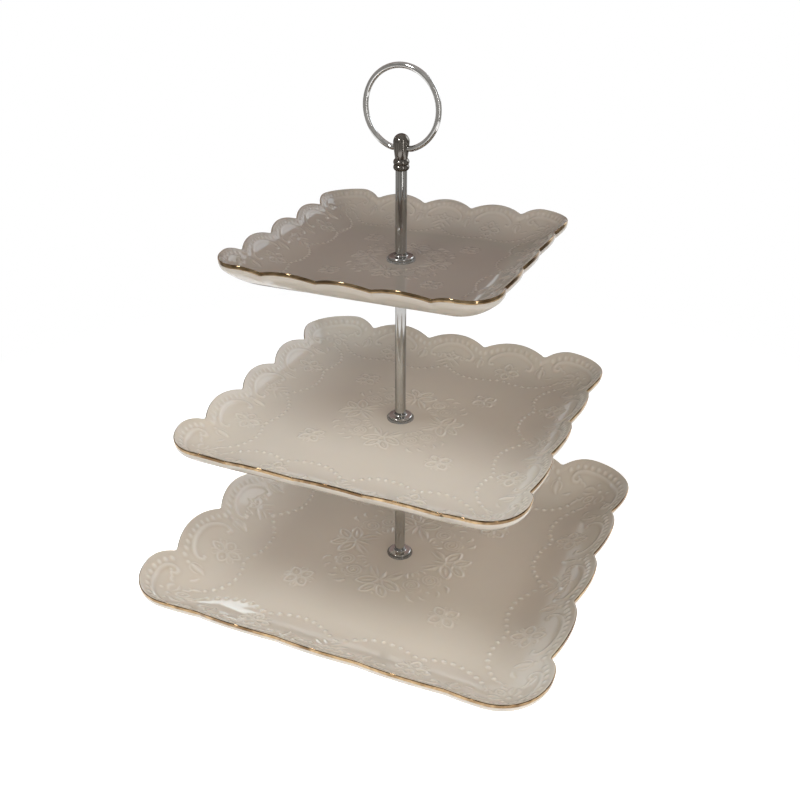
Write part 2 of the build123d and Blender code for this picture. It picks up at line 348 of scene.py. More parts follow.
def chrome_material(name, bright, smudged, dull):
    """Plated metal, faintly uneven from buffing, with smudges and stains."""
    values = {"Metallic": 1.0, "Specular Tint": (0.3, 0.3, 0.3, 1)}
    material, nodes, shader, place = new_material(name, values)
    smudge = nodes.noise(place, 90.0, 4.0, 0.6)
    plated = nodes.blend(smudge, 0.35, 0.7, bright, smudged)
    stain = nodes.noise(place, 420.0, 3.0)
    stained = nodes.blend(stain, 0.66, 0.76, plated, colour(128, 122, 112), 0.35)
    nodes.link(stained, shader.inputs["Base Color"])
    nodes.link(nodes.remap(smudge, 0.3, 0.7, dull, 2.2 * dull), shader.inputs["Roughness"])
    buffed = nodes.bump(nodes.noise(place, 160.0, 2.0), 0.00001, 0.2)
    nodes.link(buffed, shader.inputs["Normal"])
    return material


def steel_material():
    """Turned steel of the screw, studs and washers: fine rings round the axis."""
    material, nodes, shader, place = new_material("turned_steel", {"Metallic": 1.0})
    axes = nodes.add("SeparateXYZ")
    nodes.link(place, axes.inputs["Vector"])
    x, y, z = axes.outputs
    radius = nodes.length(nodes.combine(X=x, Y=y))
    fine = {"X": nodes.math("MULTIPLY", radius, 6000.0), "Z": nodes.math("MULTIPLY", z, 3000.0)}
    turning = nodes.noise(nodes.combine(**fine), 1.0, 3.0)
    metal = nodes.blend(turning, 0.3, 0.7, colour(150, 148, 144), colour(186, 184, 180))
    nodes.link(metal, shader.inputs["Base Color"])
    nodes.texture(shader, turning, (0.24, 0.4), (0.00003, 0.5))
    return material


def washer_material():
    """Clear soft plastic, a little milky and dusty."""
    values = {"IOR": 1.46, "Transmission Weight": 0.7}
    material, nodes, shader, place = new_material("clear_plastic", values)
    dust = nodes.noise(place, 500.0, 4.0, 0.6)
    milky = nodes.blend(dust, 0.4, 0.75, colour(226, 224, 219), colour(204, 201, 193))
    nodes.link(milky, shader.inputs["Base Color"])
    nodes.texture(shader, dust, (0.08, 0.2), (0.00004, 0.4))
    return material


# -------- outline of a plate
def circle_through(start, middle, end):
    """Centre and radius of the circle through three points."""
    rows = 2 * np.array([middle - start, end - start])
    sides = np.array([middle @ middle - start @ start, end @ end - start @ start])
    centre = np.linalg.solve(rows, sides)
    return centre, np.hypot(*(start - centre))


def outer_crossing(centre_a, radius_a, centre_b, radius_b):
    """The crossing of two circles that lies further from the plate's middle."""
    gap = centre_b - centre_a
    length = np.hypot(*gap)
    along = (length**2 + radius_a**2 - radius_b**2) / (2 * length)
    aside = np.sqrt(radius_a**2 - along**2)
    unit = gap / length
    foot = centre_a + along * unit
    sideways = aside * np.array([-unit[1], unit[0]])
    return max((foot + sideways, foot - sideways), key=lambda point: point @ point)


def lobes():
    """Circles of the sixteen scallops, counter-clockwise, in units of the cusp line."""
    inner, outer = INNER_CUSP, OUTER_CUSP
    cusps = [(-outer, -1.0), (-inner, -1.0), (inner, -1.0), (outer, -1.0), (1.0, -outer)]
    side_reach = -1 - SIDE_LOBE_RISE
    corner = (outer + 1) / 2 + CORNER_LOBE_RISE / np.sqrt(2)
    peaks = [(lobe, side_reach) for lobe in (-MIDDLE_LOBE, 0, MIDDLE_LOBE)]
    peaks.append((corner, -corner))
    circles = []
    for quarter in range(4):
        turn = quarter * pi / 2
        spin = np.array([[cos(turn), -sin(turn)], [sin(turn), cos(turn)]])
        for start, peak, end in zip(cusps, peaks, cusps[1:]):
            points = [spin @ np.array(point) for point in (start, peak, end)]
            circles.append(circle_through(*points))
    return circles


def on_circle(centre, radius, place):
    """The circle's point towards a place."""
    return centre + radius * (place - centre) / np.hypot(*(place - centre))


def arc_points(centre, radius, start, end, clockwise, count):
    """Rows of a point on an arc and its outward normal, from one point to another."""
    first = atan2(*(start - centre)[::-1])
    last = atan2(*(end - centre)[::-1])
    sweep = (last - first) % (2 * pi)
    if clockwise:
        sweep -= 2 * pi
    angles = first + sweep * np.linspace(0, 1, count, endpoint=False)
    spokes = np.column_stack([np.cos(angles), np.sin(angles)])
    normals = -spokes if clockwise else spokes
    return np.hstack([centre + radius * spokes, normals])


def scalloped_outline(cusp_line, count):
    """Evenly spaced points of the lip and their outward normals, counter-clockwise."""
    circles = lobes()
    fillet = CUSP_SOFTENING
    following = circles[1:] + circles[:1]
    notches = []
    for (centre_a, radius_a), (centre_b, radius_b) in zip(circles, following):
        notches.append(outer_crossing(centre_a, radius_a + fillet, centre_b, radius_b + fillet))
    arcs = []
    for index, circle in enumerate(circles):
        ahead, behind = notches[index], notches[index - 1]
        start, end = on_circle(*circle, behind), on_circle(*circle, ahead)
        leave = on_circle(*following[index], ahead)
        arcs.append(arc_points(*circle, start, end, False, ARC_SAMPLES))
        arcs.append(arc_points(ahead, fillet, end, leave, True, FILLET_SAMPLES))
    rows = np.vstack(arcs + [arcs[0][:1]])
    lengths = np.append(0, np.cumsum(np.hypot(*np.diff(rows[:, :2], axis=0).T)))
    stations = lengths[-1] * np.arange(count) / count
    rows = np.column_stack([np.interp(stations, lengths, column) for column in rows.T])
    facing = rows[:, 2:] / np.hypot(*rows[:, 2:].T)[:, None]
    return cusp_line * rows[:, :2], facing


# -------- dish surface
def rim_height(reach, rim_width, rim_rise):
    """Height of the dish above its well, at a reach outside the edge of the well."""
    slope = tan(LIP_ANGLE)
    power = slope * rim_width / rim_rise
    curved = rim_rise * (np.minimum(reach, rim_width) / rim_width) ** power
    return curved + np.maximum(reach - rim_width, 0) * slope


def square_gap(x, y, half, corner):
    """Signed distance outside a rounded square."""
    away_x = np.abs(x) - (half - corner)
    away_y = np.abs(y) - (half - corner)
    outside = np.hypot(np.maximum(away_x, 0), np.maximum(away_y, 0))
    return outside + np.minimum(np.maximum(away_x, away_y), 0) - corner


def dish_height(x, y, cusp_line, rim_width, rim_rise):
    """Height of the dish over any point of its plan."""
    low = np.zeros_like(x)
    high = np.full_like(x, rim_width + 0.2 * cusp_line)
    for _ in range(HALVINGS):
        reach = (low + high) / 2
        growth = np.minimum(reach / rim_width, 1) ** 3
        corner = cusp_line * (WELL_CORNER + (LIP_CORNER - WELL_CORNER) * growth)
        corner += np.maximum(reach - rim_width, 0)
        outside = square_gap(x, y, cusp_line - rim_width + reach, corner) > 0
        low = np.where(outside, reach, low)
        high = np.where(outside, high, reach)
    return rim_height(low, rim_width, rim_rise)


def square_reach(directions, half, corner):
    """Distance from the middle to a rounded square along unit directions."""
    low = np.zeros(len(directions))
    high = np.full(len(directions), 1.5 * half)
    for _ in range(HALVINGS):
        middle = (low + high) / 2
        inside = square_gap(*(directions * middle[:, None]).T, half, corner) < 0
        low = np.where(inside, middle, low)
        high = np.where(inside, high, middle)
    return low


# -------- ornament
# All places are shares of the cusp line's half width, in the eighth of the plate where
# "out" (distance from the middle along the side's normal) exceeds "along" (distance from
# the side's middle). Heights are shares too, before RELIEF_GAIN.
relief_size = int(MAP_CELLS * (1 + 2 * MAP_MARGIN))
relief_map = np.zeros((relief_size, relief_size), np.float32)


def stamp(start, end, radii, heights):
    """Raises a round-backed ridge between two points of the map; a point gives a bead."""
    start = (np.array(start) + MAP_MARGIN) * MAP_CELLS
    end = (np.array(end) + MAP_MARGIN) * MAP_CELLS
    widest = max(radii) * MAP_CELLS + 1
    low = np.maximum(np.floor(np.minimum(start, end) - widest), 0).astype(int)
    high = np.minimum(np.ceil(np.maximum(start, end) + widest) + 1, relief_size).astype(int)
    if (high <= low).any():
        return
    across, up = np.ogrid[low[0] : high[0], low[1] : high[1]]
    span = end - start
    square = float(span @ span) or 1.0
    share = np.clip(((across - start[0]) * span[0] + (up - start[1]) * span[1]) / square, 0, 1)
    gap = np.hypot(across - start[0] - share * span[0], up - start[1] - share * span[1])
    radius = (radii[0] + share * (radii[1] - radii[0])) * MAP_CELLS
    height = heights[0] + share * (heights[1] - heights[0])
    ridge = height * np.clip(1 - (gap / radius) ** 2, 0, 1)
    window = relief_map[low[0] : high[0], low[1] : high[1]]
    np.maximum(window, ridge, out=window)


def bead(place, radius, height):
    """Raises a round bead."""
    stamp(place, place, (radius, radius), (height, height))


def smooth_curve(points, steps):
    """Catmull-Rom curve through points of any dimension."""
    points = np.array(points, float)
    padded = np.vstack([2 * points[0] - points[1], points, 2 * points[-1] - points[-2]])
    curve = []
    for before, start, end, after in zip(padded, padded[1:], padded[2:], padded[3:]):
        bend = 2 * before - 5 * start + 4 * end - after
        twist = 3 * start - before - 3 * end + after
        for share in np.arange(steps) / steps:
            away = (end - before) * share + bend * share**2 + twist * share**3
            curve.append(start + away / 2)
    curve.append(points[-1])
    return np.array(curve)


def ridge(points, radius, height, taper=(1.0, 1.0), steps=8):
    """Ridge along a smooth curve; taper gives the share of its size kept at each end."""
    curve = smooth_curve(points, steps)
    shares = np.linspace(0, 1, len(curve))
    fade = np.minimum(1, 4 * np.minimum(shares, 1 - shares))
    ends = np.where(shares < 0.5, taper[0], taper[1])
    sizes = ends + (1 - ends) * fade
    for start, end, first, last in zip(curve, curve[1:], sizes, sizes[1:]):
        stamp(start, end, (radius * first, radius * last), (height * first, height * last))


def placed(points, centre, turn, mirror=False):
    """Local motif points (forward, aside) moved to the map."""
    points = np.array(points, float)
    if mirror:
        points[:, 1] *= -1
    spin = np.array([[cos(turn), sin(turn)], [-sin(turn), cos(turn)]])
    return np.array(centre) + points @ spin


def petal(centre, turn, start, length, width, outline, height, pit):
    """Outlined petal that points forward from a centre, with a seed in it."""
    end = start + length
    side = [(start, 0), (start + 0.25 * length, 0.42 * width)]
    side += [(start + 0.6 * length, 0.5 * width), (end - 0.12 * length, 0.26 * width), (end, 0)]
    for mirror in (False, True):
        ridge(placed(side, centre, turn, mirror=mirror), outline, height, steps=5)
    if pit:
        bead(placed([(start + 0.55 * length, 0)], centre, turn)[0], pit, 0.8 * height)


def leaf(points, width, height=0.0036):
    """Solid leaf along a curve, widest before its middle, pointed at its end."""
    curve = smooth_curve(points, 6)
    shares = np.linspace(0, 1, len(curve))
    sizes = width / 2 * (0.25 + 0.75 * np.sin(pi * shares**0.8)) * (1 - 0.6 * shares**3)
    for start, end, first, last in zip(curve, curve[1:], sizes, sizes[1:]):
        stamp(start, end, (first, last), (height * 0.9, height * 0.9))


def quatrefoil(centre, turn):
    """Four outlined petals with seeds, and hooked sprigs between them."""
    for quarter in range(4):
        heading = turn + quarter * pi / 2
        petal(centre, heading, 0.010, 0.070, 0.047, 0.0064, 0.0044, 0.0072)
        between = heading + pi / 4
        stem = [(0.016, 0), (0.040, 0.002), (0.064, 0)]
        ridge(placed(stem, centre, between), 0.0048, 0.0036)
        for mirror in (False, True):
            sprig = [(0.036, 0.0), (0.054, 0.011), (0.072, 0.017), (0.080, 0.007)]
            ridge(placed(sprig, centre, between, mirror=mirror), 0.0046, 0.0034, (0.8, 0.5), 4)
    bead(centre, 0.0095, 0.0046)


def lip_beads():
    """Pearl border, one row along every lobe and one pearl inside every cusp."""
    for lobe, reach in ((0.0, INNER_CUSP), (MIDDLE_LOBE, MIDDLE_LOBE - INNER_CUSP)):
        radius = (reach**2 + SIDE_LOBE_RISE**2) / (2 * SIDE_LOBE_RISE)
        out = 1 + SIDE_LOBE_RISE - radius
        row = radius - PEARL_INSET
        half_turn = np.arcsin(reach / row)
        for index in range(11):
            turn = half_turn * ((index + 0.5) / 5.5 - 1)
            bead((out + row * cos(turn), lobe + row * sin(turn)), *PEARL)
    corner, radius = corner_circle()
    row = radius - PEARL_INSET
    for index in range(15):
        turn = pi / 4 + radians(73) * (index / 7 - 1)
        bead((corner + row * cos(turn), corner + row * sin(turn)), *PEARL)
    for cusp in (INNER_CUSP, OUTER_CUSP):
        bead((0.932, cusp), *CUSP_PEARL)


def corner_circle():
    """Middle, on the diagonal, and radius of the corner lobe."""
    half_chord = (1 - OUTER_CUSP) / np.sqrt(2)
    radius = (half_chord**2 + CORNER_LOBE_RISE**2) / (2 * CORNER_LOBE_RISE)
    reach = (1 + OUTER_CUSP) / 2 + (CORNER_LOBE_RISE - radius) / np.sqrt(2)
    return reach, radius


def scroll_frames():
    """C-shaped scroll inside every lobe, its ends curled inward."""
    half = [(0.994, 0.0), (0.986, 0.062), (0.964, 0.112), (0.936, 0.143)]
    half += [(0.910, 0.148), (0.893, 0.135), (0.897, 0.119)]
    # the corner's half scroll: degrees from the diagonal, and inset from the outline
    bent = [(0, 0.060), (22, 0.060), (44, 0.060), (60, 0.062), (70, 0.076)]
    bent += [(72, 0.100), (65, 0.110), (59, 0.100)]
    corner, radius = corner_circle()
    for side in (-1, 1):
        scrolls = []
        for lobe in (0.0, MIDDLE_LOBE):
            scrolls.append([(out, lobe + side * along) for out, along in half])
        turned = []
        for degrees, inset in bent:
            turn = pi / 4 + side * radians(degrees)
            reach = radius - inset
            turned.append((corner + reach * cos(turn), corner + reach * sin(turn)))
        scrolls.append(turned)
        for points in scrolls:
            ridge(points, *SCROLL, (1.0, 0.75))
            bead(points[-1], *SCROLL_EYE)


def cusp_buds():
    """Plump hooded bud inside every cusp, pointing to the middle of the plate."""
    for cusp in (INNER_CUSP, OUTER_CUSP):
        centre = (0.925, cusp)
        bud = [(0.010, 0), (0.040, 0.004), (0.066, 0), (0.086, -0.010)]
        leaf(placed(bud, centre, pi), 0.040, 0.0062)
        for mirror in (False, True):
            hood = [(0.006, 0.008), (0.018, 0.024), (0.042, 0.029), (0.062, 0.022)]
            ridge(placed(hood, centre, pi, mirror=mirror), 0.0056, 0.0034, (0.9, 0.5))


def lobe_sprays():
    """Small flower spray in the middle lobe and a larger one in the corner lobe."""
    for place in ((0.893, 0.117), (0.812, 0.0), (0.962, 0.742), (0.930, 0.870)):
        bead(place, *SMALL_DOT)
    # middle lobe: flower basket, squiggles, dots and leaf strokes
    bead((0.935, 0.0), 0.012, 0.0045)
    for along in (0.018, 0.036):
        bead((0.925 - along / 3, along), 0.0095, 0.004)
    ridge([(0.885, 0.0), (0.888, 0.02), (0.902, 0.042), (0.915, 0.05)], 0.008, 0.004)
    ridge([(0.872, 0.0), (0.876, 0.022), (0.868, 0.036)], 0.0065, 0.0036)
    petal((0.905, 0.0), pi / 2, 0.004, 0.034, 0.026, 0.0048, 0.0034, 0)
    squiggle = [(0.918, 0.062), (0.908, 0.072), (0.894, 0.070), (0.884, 0.080), (0.892, 0.092)]
    ridge(squiggle, 0.0062, 0.0036, (0.8, 0.6))
    bead((0.905, 0.094), 0.0075, 0.0038)
    leaf([(0.866, 0.040), (0.848, 0.060), (0.828, 0.084)], 0.019)
    leaf([(0.846, 0.012), (0.826, 0.030), (0.806, 0.050)], 0.016)
    # corner lobe: the diagonal's other half comes from folding the map
    ridge([(0.952, 0.760), (0.938, 0.768), (0.934, 0.784), (0.922, 0.792)], 0.0062, 0.0036)
    leaf([(0.905, 0.800), (0.915, 0.832), (0.900, 0.862)], 0.024)
    leaf([(0.880, 0.790), (0.872, 0.818), (0.884, 0.846)], 0.020)
    bead((0.884, 0.884), 0.013, 0.0046)
    petal((0.862, 0.862), 5 * pi / 4, 0.008, 0.062, 0.036, 0.0055, 0.0036, 0.007)
    leaf([(0.866, 0.720), (0.850, 0.700), (0.842, 0.672)], 0.020)
    leaf([(0.826, 0.770), (0.804, 0.752), (0.784, 0.742)], 0.019)
    ridge([(0.850, 0.800), (0.832, 0.790), (0.828, 0.774), (0.838, 0.766)], 0.0060, 0.0034)


def bead_swags():
    """Chains of pearls that hang between the lobes and the well."""
    chains = [
        [(0.793, 0.006), (0.763, 0.046), (0.728, 0.096), (0.700, 0.150), (0.690, 0.214)],
        [(0.693, 0.280), (0.708, 0.336), (0.727, 0.386), (0.727, 0.424), (0.708, 0.474)],
        [(0.696, 0.535), (0.700, 0.590), (0.716, 0.642), (0.742, 0.690), (0.774, 0.728)],
    ]
    curve = smooth_curve([point for chain in chains for point in chain], 20)
    lengths = np.append(0, np.cumsum(np.hypot(*np.diff(curve, axis=0).T)))
    count = round(lengths[-1] / SWAG_PITCH)
    for station in np.linspace(0, lengths[-1], count + 1):
        place = [np.interp(station, lengths, curve[:, axis]) for axis in (0, 1)]
        bead(place, *SWAG_PEARL)


def rosette(centre, turn):
    """Spiral rose: one petal coiled twice round a heart, with three outer petals."""
    coil = []
    for step in range(27):
        angle = turn + step * pi / 6
        reach = 0.014 + 0.0013 * step
        coil.append((centre[0] + reach * cos(angle), centre[1] + reach * sin(angle)))
    ridge(coil, 0.0060, 0.0042, (0.8, 0.7), 2)
    bead(centre, 0.0105, 0.0046)
    for side in (-1, 0, 1):
        arc = [(0.050, -0.019), (0.059, -0.009), (0.059, 0.009), (0.050, 0.019)]
        ridge(placed(arc, centre, turn + side * radians(48)), 0.0046, 0.0032, (0.7, 0.7), 4)


def wreath():
    """Wreath round the post: four fleurs of outlined petals and eight spiral roses."""
    # fleur on the side's normal; its other half comes from folding the map
    petal((0.256, 0.0), radians(65), 0.010, 0.120, 0.056, 0.0064, 0.0046, 0)
    leaf(placed([(0.040, 0), (0.070, 0.001), (0.102, 0)], (0.256, 0.0), radians(65)), 0.020, 0.0030)
    petal((0.296, 0.0), radians(38), 0.010, 0.100, 0.047, 0.0062, 0.0044, 0)
    leaf(placed([(0.036, 0), (0.060, 0.001), (0.086, 0)], (0.296, 0.0), radians(38)), 0.016, 0.0028)
    leaf([(0.268, 0.0), (0.226, 0.0), (0.184, 0.0)], 0.026, 0.0046)
    leaf([(0.270, 0.010), (0.210, 0.036), (0.150, 0.076)], 0.019, 0.0042)
    leaf([(0.246, 0.030), (0.216, 0.066), (0.176, 0.092)], 0.034, 0.0054)
    bead((0.345, 0.0), *SMALL_DOT)
    bead((0.372, 0.0), 0.0080, 0.0036)
    # roses either side of the diagonal, and their leaves
    angle = pi / 4 - radians(10.0)
    rosette((0.290 * cos(angle), 0.290 * sin(angle)), angle - pi / 8)
    leaf([(0.330, 0.176), (0.352, 0.196), (0.356, 0.224)], 0.024, 0.0042)
    leaf([(0.306, 0.232), (0.322, 0.254), (0.318, 0.278)], 0.020, 0.0038)
    leaf([(0.196, 0.124), (0.176, 0.112), (0.150, 0.112)], 0.022, 0.0042)
    leaf([(0.168, 0.140), (0.152, 0.134), (0.134, 0.134)], 0.016, 0.0038)
    bead((0.262, 0.262), 0.0100, 0.0040)
    bead((0.176, 0.176), 0.0090, 0.0038)


def folded_map():
    """The whole ornament, mirrored across the side's normal and the diagonal, and softened."""
    margin = int(MAP_MARGIN * MAP_CELLS)
    for view in (relief_map, relief_map.T):
        above = view[margin + 1 : 2 * margin + 1]
        np.maximum(above, view[:margin][::-1], out=above)
    return RELIEF_GAIN * blurred(np.maximum(relief_map, relief_map.T), RELIEF_BLUR)


def blurred(values, sigma):
    """Gaussian blur in cells, as two passes of a short kernel."""
    reach = int(3 * sigma) + 1
    offsets = np.arange(-reach, reach + 1)
    kernel = np.exp(-0.5 * (offsets / sigma) ** 2)
    kernel /= kernel.sum()
    for axis in (0, 1):
        total = np.zeros_like(values)
        for offset, weight in zip(offsets, kernel):
            total += weight * np.roll(values, offset, axis)
        values = total
    return values


def make_ornament():
    """Relief heights, and how far each place stands over its surroundings."""
    lip_beads()
    scroll_frames()
    cusp_buds()
    lobe_sprays()
    bead_swags()
    wreath()
    # open flowers in the other side lobes and in each quarter of the well
    quatrefoil((0.838, MIDDLE_LOBE), 0.0)
    quatrefoil((0.405, 0.405), pi / 4)
    relief = folded_map()
    return relief, relief - blurred(relief, SURROUNDINGS_BLUR)


def sampled(values, x, y):
    """Values of an ornament map at places in the plate's plan, by bilinear blending."""
    out = np.maximum(np.abs(x), np.abs(y))
    along = np.minimum(np.abs(x), np.abs(y))
    row = np.clip((out + MAP_MARGIN) * MAP_CELLS, 0, relief_size - 1.001)
    column = np.clip((along + MAP_MARGIN) * MAP_CELLS, 0, relief_size - 1.001)
    i, j = row.astype(int), column.astype(int)
    u, v = row - i, column - j
    near = values[i, j] * (1 - v) + values[i, j + 1] * v
    far = values[i + 1, j] * (1 - v) + values[i + 1, j + 1] * v
    return near * (1 - u) + far * u


# -------- plates
class Shell:
    """Closed loops of vertices joined in order into one surface."""

    def __init__(self):
        self.vertices, self.crests = [], []
        self.corners, self.sizes, self.finishes = [], [], []
        self.count = 0
        self.last = None

    def loop(self, points, finish=GLAZE, crest=None):
        """Adds a loop and joins it to the one before; loops may halve in count, or double."""
        count = len(points)
        indices = self.count + np.arange(count)
        self.vertices.append(points)
        self.crests.append(np.zeros(count) if crest is None else crest)
        self.count += count
        if self.last is not None:
            self.join(self.last, indices, finish)
        self.last = indices

    def join(self, before, after, finish):
        """Faces between two loops."""
        if len(before) == len(after):
            faces = [before, np.roll(before, -1), np.roll(after, -1), after]
        elif len(before) == 2 * len(after):
            near, middle = before[0::2], before[1::2]
            faces = [near, middle, np.roll(near, -1), np.roll(after, -1), after]
        else:
            near, middle = after[0::2], after[1::2]
            faces = [before, np.roll(before, -1), np.roll(near, -1), middle, near]
        faces = np.column_stack(faces)
        self.corners.append(faces.ravel())
        self.sizes.append(np.full(len(faces), faces.shape[1]))
        self.finishes.append(np.full(len(faces), finish))

    def mesh(self, name):
        """Mesh in metres, with the crests as an attribute for the glaze."""
        vertices = np.vstack(self.vertices) / 1000
        corners = np.concatenate(self.corners)
        sizes = np.concatenate(self.sizes)
        mesh = bpy.data.meshes.new(name)
        mesh.vertices.add(len(vertices))
        mesh.vertices.foreach_set("co", vertices.astype(np.float32).ravel())
        mesh.loops.add(len(corners))
        mesh.loops.foreach_set("vertex_index", corners.astype(np.int32))
        mesh.polygons.add(len(sizes))
        starts = np.append(0, np.cumsum(sizes)[:-1])
        mesh.polygons.foreach_set("loop_start", starts.astype(np.int32))
        mesh.update(calc_edges=True)
        mesh.polygons.foreach_set("material_index", np.concatenate(self.finishes).astype(np.int32))
        crest = mesh.attributes.new("glaze_crest", "FLOAT", "POINT")
        crest.data.foreach_set("value", np.concatenate(self.crests).astype(np.float32))
        mesh.shade_smooth()
        return mesh


def wavering(count, seed, size):
    """Slow irregular wander round a closed line, as of a hand-painted band."""
    random = np.random.default_rng(seed)
    turn = 2 * pi * np.arange(count) / count
    wander = np.zeros(count)
    for waves in (3, 7, 12, 19, 31, 47, 68):
        wander += np.sin(waves * turn + random.uniform(0, 2 * pi)) / np.sqrt(waves)
    return size * wander / np.abs(wander).max()


def bezier(points, share):
    """Places on a cubic curve, one for each share of the way along it."""
    rest = 1 - share
    weights = (rest**3, 3 * rest**2 * share, 3 * rest * share**2, share**3)
    return sum(weight[:, None] * point for weight, point in zip(weights, points))


def spoke_step(reach):
    """Every how many spokes a ring keeps: fewer vertices towards the middle."""
    return next(step for limit, step in SPOKE_STEPS if reach < limit)


def build_plate(name, relief, crest, materials):
    """One plate: a closed surface from the hole over the dish and lip to the foot ring."""
    width, rim_width, rim_rise, level = PLATES[name]
    cusp_line = width / 2 / CORNER_LOBE_REACH
    outline, normals = scalloped_outline(cusp_line, LIP_SAMPLES[name])
    inner = outline - LIP_BAND * normals
    mouth = HOLE_RADIUS + HOLE_CHAMFER
    shell = Shell()

    def height(points):
        return dish_height(*points.T, cusp_line, rim_width, rim_rise)

    def spaced(plan, z):
        return np.column_stack([plan, level + z])

    # hole, then the well and rim, ring by ring outwards
    hole = inner / np.hypot(*inner.T)[:, None]
    wall = hole[:: spoke_step(0)]
    for z in (HOLE_CHAMFER - PORCELAIN, -HOLE_CHAMFER):
        shell.loop(spaced(HOLE_RADIUS * wall, np.full(len(wall), z)))
    length = np.hypot(*inner.T).mean() - HOLE_RADIUS
    rings = int(length / RING_PITCH[name])
    for ring in range(rings + 1):
        reach = (ring / rings) ** RING_CROWDING
        step = spoke_step(reach)
        plan = mouth * hole[::step] * (1 - reach) + inner[::step] * reach
        raised = cusp_line * sampled(relief, *(plan / cusp_line).T)
        stands = cusp_line * sampled(crest, *(plan / cusp_line).T)
        near_lip = max(0.0, (reach - 1 + LIP_SWELL_WIDTH) / LIP_SWELL_WIDTH)
        swell = LIP_SWELL * near_lip**2 * (3 - 2 * near_lip)
        shell.loop(spaced(plan, height(plan) + raised + swell), GLAZE, stands)
    add_lip(shell, spaced, outline, normals, height(inner), height(outline), int(level))
    add_underside(shell, spaced, height, inner, cusp_line, rim_width)
    shell.join(shell.last, np.arange(len(wall)), GLAZE)

    plate = add_object(f"glazed_{name}", shell.mesh(f"glazed_{name}"))
    for material in materials:
        plate.data.materials.append(material)
    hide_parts(name)
    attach(plate, name)
    return plate


def add_lip(shell, spaced, outline, normals, inner_height, outer_height, seed):
    """Rounded lip with its gilt line, over the edge to the underside of the rim."""
    inner_top = inner_height + LIP_SWELL
    top = outer_height + LIP_SWELL
    slope = (top - inner_top) / LIP_BAND
    thickness = PORCELAIN + LIP_SWELL

    def profile(*corners):
        return [np.column_stack([np.full(len(z), inward), z]) for inward, z in corners]

    # control points: inset from the outline, and height
    crown = (LIP_BAND, inner_top), (0.9, inner_top + 0.9 * slope), (0.0, top - 0.1)
    outermost = (0.0, top - LIP_DROP)
    turned = (0.0, top - thickness + 0.5), (0.7, top - thickness - 0.7 * slope)
    upper = profile(*crown, outermost)
    lower = profile(outermost, *turned, (LIP_BAND, inner_top - thickness))
    gilt_start = GILT_START + wavering(len(outline), seed, START_WANDER)
    gilt_end = GILT_END + wavering(len(outline), seed + 1, END_WANDER)

    def lip(travel, finish=GLAZE):
        """Loop on the lip: travel runs over the upper curve to 1, over the lower one to 2."""
        above = bezier(upper, np.minimum(travel, 1))
        below = bezier(lower, np.maximum(travel - 1, 0))
        place = np.where((travel < 1)[:, None], above, below)
        shell.loop(spaced(outline - place[:, :1] * normals, place[:, 1]), finish)

    for share in (0.25, 0.5, 0.75, 1.0):
        lip(share * gilt_start)
    for share in (0.18, 0.36, 0.54, 0.72, 0.86, 1.0):
        lip(gilt_start + share * (gilt_end - gilt_start), GILT)
    for share in (0.15, 0.4, 0.7, 1.0):
        lip(gilt_end + share * (2 - gilt_end))


def add_underside(shell, spaced, height, inner, cusp_line, rim_width):
    """Underside of the rim, foot ring and underside of the well."""
    foot_half = cusp_line - rim_width - 1.5 * FOOT_RING_WIDTH
    corner = WELL_CORNER * cusp_line
    under = inner[::UNDERSIDE_STEP]
    directions = under / np.hypot(*under.T)[:, None]

    def foot_plan(inset):
        return directions * square_reach(directions, foot_half - inset, corner - inset)[:, None]

    edge = 0.994 * inner[::LIP_STEP]
    shell.loop(spaced(edge, height(edge) - PORCELAIN))
    outer_foot = foot_plan(-FOOT_FILLET)
    for share in np.linspace(0.98, 0, UNDERSIDE_RINGS):
        plan = outer_foot + (under - outer_foot) * share
        shell.loop(spaced(plan, height(plan) - PORCELAIN))
    # section of the foot ring: inset from its outer face, height under the well, material
    ground = -FOOT_RING_HEIGHT
    outer_face = [(-0.7, -0.35), (-0.15, -1.2), (0.0, -2.6), (0.1, ground + 0.9)]
    inner_face = [(4.4, ground + 0.9), (4.5, -2.4), (4.7, -1.0), (5.3, -0.3), (6.6, 0)]
    running_face = [(inset, ground) for inset in (1.1, 2.25, 3.4)]
    for face, finish in (
        (outer_face + [(0.45, ground + 0.25)], GLAZE),
        (running_face, BARE_CLAY),
        ([(4.05, ground + 0.25)] + inner_face, GLAZE),
    ):
        for inset, z in face:
            shell.loop(spaced(foot_plan(inset), np.full(len(under), z - PORCELAIN)), finish)
    recess = foot_plan(inner_face[-1][0])
    for share in np.linspace(0.94, 0, BASE_RINGS):
        step = 2 if share < 0.5 else 1
        spoke = directions[::step]
        plan = (HOLE_RADIUS + HOLE_CHAMFER) * spoke * (1 - share) + recess[::step] * share
        shell.loop(spaced(plan, np.full(len(plan), -PORCELAIN)))


# -------- metal column
def finish_column():
    """Finishes for the CAD nodes that stay as they are."""
    chrome = chrome_material("chrome_plating", colour(198, 197, 195), colour(186, 184, 181), 0.04)
    # painted highlight: a lighter copy of the column's chrome, standing in for the brighter
    # reflections on the ring
    bright = chrome_material("ring_painted_highlight_chrome", colour(236, 235, 233), colour(222, 220, 217), 0.04)
    # painted shade: a darker copy of the column's chrome, standing in for the darker reflections on
    # the head
    head_painted_shade = chrome_material("head_painted_shade_chrome", colour(148, 143, 137), colour(130, 125, 119), 0.06)
    steel = steel_material()
    finishes = {"handle_ring": bright, "handle_head": head_painted_shade, "foot": chrome, "tube": chrome}
    finishes["soft_washer"] = washer_material()
    for name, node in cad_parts.items():
        if name in PLATES:
            continue
        finish = next((finishes[end] for end in finishes if name.endswith(end)), steel)
        for slot in node.material_slots:
            slot.material = finish


# -------- studio
def add_mesh(name, vertices, faces):
    """Object of the studio, made of a few faces."""
    mesh = bpy.data.meshes.new(name)
    mesh.from_pydata(vertices, [], faces)
    return add_object(name, mesh)


